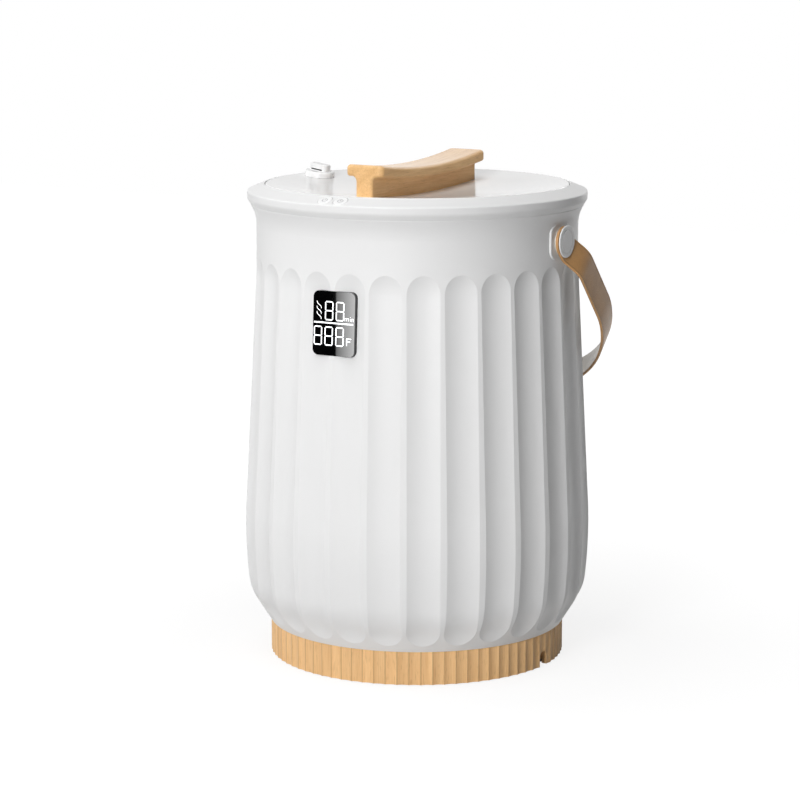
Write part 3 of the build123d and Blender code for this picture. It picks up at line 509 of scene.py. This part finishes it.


# ---- lid lock ----
# A white turn knob with a raised grip, which has a slot along each side, painted near-black inside as
# painted shade.
# A nylon tongue under the lid turns with it, into a slot in the ring.
KNOB_PLACE, KNOB_TURN = (-0.1123, 0.0201, 0.41204), (0.0, math.radians(-6.26), math.radians(169.85))
SLOT_REACH, GRIP_SIDE, SLOT_Z, SLOT_HALF = 0.0063, 0.00445, 0.0064, 0.0007
knob = moulded_finish("knob_white", WHITE, roughness=0.22, grain=400.0, handling=0.1, depth=0.000001)
tree = knob.node_tree
local = node(
    tree, "Mapping", {"Vector": here(tree), "Location": KNOB_PLACE, "Rotation": KNOB_TURN},
    vector_type="TEXTURE",
).outputs[0]
even = node(tree, "VectorMath", {0: local}, operation="ABSOLUTE").outputs[0]
place = node(tree, "SeparateXYZ", {0: even}).outputs
# painted shade: the inside of each side slot is painted near-black, standing for the shadow in the groove
along = calc(tree, "LESS_THAN", place["X"], SLOT_REACH)
inside = calc(tree, "LESS_THAN", place["Y"], GRIP_SIDE)
level = calc(tree, "COMPARE", place["Z"], SLOT_Z, SLOT_HALF)
slot = calc(tree, "MULTIPLY", calc(tree, "MULTIPLY", along, inside), level)
paint_over(knob, slot, (0.03, 0.03, 0.032, 1.0))
dress(knob, "lock_knob")
nylon = moulded_finish(
    "natural_nylon", (0.78, 0.76, 0.7), roughness=0.42, grain=1100.0, handling=0.3, depth=0.00003,
    Subsurface_Weight=0.05,
)
dress(nylon, "lock_tongue", "strap_washers")


# ---- strap caps ----
# White domes with a fine ring groove, snapped over the head of each strap stud.
# They are of the same gloss plastic as the knob.
cap_white = moulded_finish("cap_white", WHITE, roughness=0.26, grain=400.0, handling=0.1, depth=0.000001)
dress(cap_white, "strap_caps")


# ---- leather strap ----
# A 26 mm strap of 2.6 mm vegetable-tanned leather, cut with round ends that turn on the studs.
# Its edges are rounded and left pale, a dark crease runs beside them, and the flesh side is paler still.
PIVOT_X, PIVOT_Z, STRAP_LEAN = 0.1423, 0.3715, math.radians(44.45)
STRAP_STRAIGHT, HOLE_R = 0.0094, 0.00605
FLESH_UNDER, CREASE_AT, CUT_FROM, CUT_WIDTH = -1.2, 11.15, 12.3, 0.45  # where each colour lies, mm
END_STEPS, HOLE_STEPS, BEND_STEPS, BOW_STEPS = 14, 8, 8, 44
ON_MIDDLE, SAME_SPOT = 0.0001, 1e-6  # nearer than these is on the middle line, or the same corner
# half of the section, from the eyelet hole over the grain side, round the edge and back: (across, out), mm
STRAP_SECTION = [
    (6.05, 1.3), (10.5, 1.3), (10.9, 1.24), (11.15, 1.02), (11.4, 1.24), (11.8, 1.3), (12.3, 1.26),
    (12.75, 1.05), (13.02, 0.6), (13.1, 0.0), (13.02, -0.6), (12.75, -1.05), (12.3, -1.26), (11.0, -1.3),
    (6.05, -1.3),
]
STRAP_BENDS = [(0.01, 27.0, 0.0103), (0.028, -2.9, 0.0512), (0.0825, -12.0, 0.0)]  # radius, heading, run

strap = bmesh.new()
flesh = strap.verts.layers.float.new("flesh")
cut = strap.verts.layers.float.new("cut")
crease = strap.verts.layers.float.new("crease")
ring = []
for across, thick in STRAP_SECTION:
    corner = strap.verts.new((PIVOT_X + thick / 1000, -across / 1000, 0))
    corner[flesh] = 1.0 if thick < FLESH_UNDER else 0.0
    corner[cut] = min(1.0, max(0.0, (across - CUT_FROM) / CUT_WIDTH))
    corner[crease] = 1.0 if across == CREASE_AT else 0.0
    ring.append(corner)
edges = [strap.edges.new(pair) for pair in zip(ring, ring[1:] + ring[:1])]
# the round end: the section turns a quarter about the stud
made = bmesh.ops.spin(
    strap, geom=ring + edges, cent=(PIVOT_X, 0, 0), axis=(1, 0, 0), angle=-math.pi / 2, steps=END_STEPS
)["geom_last"]


def pull(geometry, move):
    """Carries the end of the strap on by one step and returns the new end."""
    ends = [e for e in geometry if isinstance(e, bmesh.types.BMEdge)]
    new = bmesh.ops.extrude_edge_only(strap, edges=ends)["geom"]
    bmesh.ops.translate(strap, vec=move, verts=[v for v in new if isinstance(v, bmesh.types.BMVert)])
    return [g for g in new if not isinstance(g, bmesh.types.BMFace)]


# past the eyelet, the section's inner end follows the hole until it closes
reached = 0.0
for step in range(1, HOLE_STEPS + 1):
    turn = math.pi / 2 * step / HOLE_STEPS
    end = pull(made, (0, HOLE_R * math.sin(turn) - reached, 0))
    reached = HOLE_R * math.sin(turn)
    for corner in sorted((v for v in end if isinstance(v, bmesh.types.BMVert)), key=lambda v: v.co.z)[:2]:
        corner.co.z = HOLE_R * math.cos(turn)
    made = [g for g in end if isinstance(g, bmesh.types.BMVert) or len(g.link_faces) == 1]
made = [g for g in made if isinstance(g, bmesh.types.BMVert) or max(v.co.z for v in g.verts) > ON_MIDDLE]
made = pull(made, (0, STRAP_STRAIGHT - reached, 0))
tip, heading = Vector((PIVOT_X, STRAP_STRAIGHT, 0)), 0.0


def bend(geometry, radius, target, steps):
    """Turns the end of the strap to a new heading, in degrees outwards of straight back."""
    global tip, heading
    turn = target - heading
    way = math.radians(heading)
    centre = tip + Vector((math.cos(way), -math.sin(way), 0)) * math.copysign(radius, turn)
    angle = -math.radians(turn)
    new = bmesh.ops.spin(strap, geom=geometry, cent=centre, axis=(0, 0, 1), angle=angle, steps=steps)
    tip = centre + Matrix.Rotation(angle, 3, "Z") @ (tip - centre)
    heading = target
    return new["geom_last"]


for radius, target, run in STRAP_BENDS:
    made = bend(made, radius, target, BEND_STEPS)
    if run:
        way = math.radians(heading)
        move = Vector((math.sin(way), math.cos(way), 0)) * run
        made = pull(made, move)
        tip += move
bend(made, tip.x / math.cos(math.radians(heading)), -90.0, BOW_STEPS)
for axis in "ZX":
    half = strap.verts[:] + strap.edges[:] + strap.faces[:]
    bmesh.ops.mirror(strap, geom=half, axis=axis, merge_dist=SAME_SPOT)
bmesh.ops.remove_doubles(strap, verts=strap.verts, dist=SAME_SPOT)
lean = Matrix.Translation((0, 0, PIVOT_Z)) @ Matrix.Rotation(-STRAP_LEAN, 4, "X")
bmesh.ops.transform(strap, matrix=lean, verts=strap.verts)

# tanned hide: irregular pebbles with fine creases between, mottled by the dye
hide, given, out = effect(
    "tanned_hide",
    {"Colour": (0.4, 0.2, 0.08, 1.0), "Deep": (0.2, 0.09, 0.03, 1.0), "Roughness": 0.45, "Pebble": 900.0},
    OUTPUTS,
)
at = here(hide)
drift = node(hide, "TexNoise", {"Vector": at, "Scale": 300.0, "Detail": 2.0}).outputs["Color"]
wander = node(hide, "VectorMath", {0: drift, 3: 0.0012}, operation="SCALE").outputs[0]
moved = node(hide, "VectorMath", {0: at, 1: wander}, operation="ADD").outputs[0]
pebbles = node(
    hide, "TexVoronoi", {"Vector": moved, "Scale": given["Pebble"]}, feature="DISTANCE_TO_EDGE"
).outputs["Distance"]
dome = remap(hide, pebbles, high=0.22, interpolation_type="SMOOTHSTEP")
dye = remap(hide, noise(hide, at, 55.0, 6.0, Roughness=0.6), 0.35, 0.72, to_high=0.55)
furrow = remap(hide, dome, to_low=0.22, to_high=0.0)
worn = blend(hide, furrow, blend(hide, dye, given["Colour"], given["Deep"]), given["Deep"])
waxed = calc(hide, "MULTIPLY_ADD", furrow, 0.6, given["Roughness"])
feed(hide, out, Colour=worn, Roughness=waxed, Height=dome)

TAN, TAN_DEEP, CREASE_BROWN = (0.5, 0.27, 0.1, 1.0), (0.3, 0.15, 0.05, 1.0), (0.1, 0.045, 0.018, 1.0)
SUEDE_SHADE, SUEDE_LIGHT, CUT_EDGE = (0.8, 0.72, 0.62, 1.0), (0.92, 0.87, 0.8, 1.0), (0.6, 0.33, 0.14, 1.0)
leather, tree, shader = finish_of(
    "tan_leather", Specular_IOR_Level=0.2, Coat_Weight=0.3, Coat_Roughness=0.3
)
skin = use(tree, hide, {"Colour": TAN, "Deep": TAN_DEEP, "Roughness": 0.38})
back, rim, line = (
    node(tree, "Attribute", attribute_name=name).outputs["Fac"] for name in ("flesh", "cut", "crease")
)
suede = blend(tree, noise(tree, here(tree), 1100.0, 5.0), SUEDE_SHADE, SUEDE_LIGHT)
sided = blend(tree, back, skin["Colour"], suede)
edged = blend(tree, rim, blend(tree, line, sided, CREASE_BROWN), CUT_EDGE)
rough = calc(tree, "ADD", skin["Roughness"], remap(tree, back, to_low=0.0, to_high=-0.08))
skin_on(tree, shader, skin, 0.00006, 0.8)
feed(tree, shader, Base_Color=edged, Roughness=rough)
strap_piece = piece("leather_strap", strap, leather, "strap")
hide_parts("strap_band")


# ---- camera, lamps, floor and surroundings ----
# A long lens from the front right, a little above the lid. Soft lamps light it from the front, from
# above, from the left and faintly from behind. The floor is pale and keeps a soft shadow.
scene = bpy.context.scene
scene.view_settings.view_transform = "Standard"
camera = bpy.data.objects.new("camera", bpy.data.cameras.new("camera"))
scene.collection.objects.link(camera)
camera.location = (1.2013, -2.0808, 0.6591)
camera.rotation_euler = (math.radians(79.706), 0, math.radians(30.356))
camera.data.lens = 125.35
scene.camera = camera

LAMP_AIM, LAMP_REACH = Vector((0, 0, 0.22)), 2.5


def lamp(name, azimuth, elevation, size, power):
    """A soft rectangular lamp; azimuth 0 is the front and 90 the right."""
    light = bpy.data.lights.new(name, "AREA")
    light.shape = "RECTANGLE"
    light.size, light.size_y = size
    light.energy = power
    made = bpy.data.objects.new(name, light)
    scene.collection.objects.link(made)
    way, up = math.radians(azimuth), math.radians(elevation)
    back = Vector((math.sin(way) * math.cos(up), -math.cos(way) * math.cos(up), math.sin(up)))
    made.location = LAMP_AIM + back * LAMP_REACH
    made.rotation_euler = back.to_track_quat("Z", "Y").to_euler()
    made.visible_camera = False


lamp("key", azimuth=9, elevation=20, size=(0.7, 0.9), power=38)
lamp("top", azimuth=5, elevation=75, size=(1.6, 1.6), power=33)
lamp("side", azimuth=-80, elevation=20, size=(1.0, 1.8), power=15)
lamp("rim", azimuth=180, elevation=15, size=(0.5, 1.6), power=5)

# an unlit and a lit card stand side by side where the black window mirrors them
CARD_WAY, CARD_LEAN, CARD_ROLL = math.radians(-29.7), math.radians(-3.6), math.radians(-2.5)
CARD_REACH, CARD_HEIGHT, CARD_JOIN = 2.0, 0.5, 0.002
WINDOW_MIDDLE = Vector((0.00205, -0.1416, 0.3092))


def card(name, left, right, glow):
    """An upright card that only glossy surfaces see; glow is its light at left and right."""
    shape = bmesh.new()
    ends = (-CARD_HEIGHT / 2, CARD_HEIGHT / 2)
    corners = [shape.verts.new((x, 0, z)) for x in (left, right) for z in ends]
    shape.faces.new([corners[0], corners[2], corners[3], corners[1]])
    made = shaped(name, shape)
    back = Vector((math.sin(CARD_WAY), -math.cos(CARD_WAY), math.tan(CARD_LEAN)))
    made.location = WINDOW_MIDDLE + back * CARD_REACH
    made.rotation_euler = (0, CARD_ROLL, CARD_WAY)
    made.visible_camera = made.visible_diffuse = made.visible_shadow = made.visible_transmission = False
    paper, tree, shader = finish_of(name)
    made.data.materials.append(paper)
    tree.nodes.remove(shader)
    across = node(tree, "SeparateXYZ", {0: here(tree)}).outputs["X"]
    light = node(tree, "Emission", {"Strength": remap(tree, across, left, right, *glow)})
    feed(tree, tree.nodes["Material Output"], Surface=light.outputs[0])


card("black_card", -0.12, CARD_JOIN, (0.0, 0.0))
card("lit_card", CARD_JOIN, 0.034, (3.4, 13.5))


def looked_at(tree):
    """1 to the camera and in reflections and glass, and 0 to the light that falls on things."""
    path = node(tree, "LightPath").outputs
    seen = calc(tree, "MAXIMUM", path["Is Camera Ray"], path["Is Glossy Ray"])
    return calc(tree, "MAXIMUM", seen, path["Is Transmission Ray"])


surroundings = bpy.data.worlds.new("surroundings")
scene.world = surroundings
surroundings.use_nodes = True
tree = surroundings.node_tree
tree.nodes["Background"].inputs["Color"].default_value = (1.0, 1.0, 1.0, 1.0)
feed(tree, tree.nodes["Background"], Strength=looked_at(tree))

FLOOR_SIZE = 3.0
# the floor's own light rises from the level to full between near and far
SHADE_NEAR, SHADE_FAR, SHADE_LEVEL = 0.2, 0.75, 0.86
floor_shape = bmesh.new()
bmesh.ops.create_grid(floor_shape, x_segments=1, y_segments=1, size=FLOOR_SIZE)
floor = shaped("floor", floor_shape)
pale_floor, tree, shader = finish_of("pale_floor")
floor.data.materials.append(pale_floor)
tree.nodes.remove(shader)
far = node(tree, "VectorMath", {0: here(tree)}, operation="LENGTH").outputs["Value"]
fade = remap(tree, far, SHADE_NEAR, SHADE_FAR, to_low=SHADE_LEVEL)
pale = node(tree, "BsdfDiffuse", {"Color": (0.56, 0.56, 0.56, 1.0)})
faint = node(tree, "BsdfDiffuse", {"Color": (0.16, 0.16, 0.16, 1.0)})
white = node(tree, "Emission", {"Color": (1.0, 1.0, 1.0, 1.0), "Strength": fade})
shown = node(tree, "AddShader", {0: faint.outputs[0], 1: white.outputs[0]})
ground = node(tree, "MixShader", {0: looked_at(tree), 1: pale.outputs[0], 2: shown.outputs[0]})
feed(tree, tree.nodes["Material Output"], Surface=ground.outputs[0])
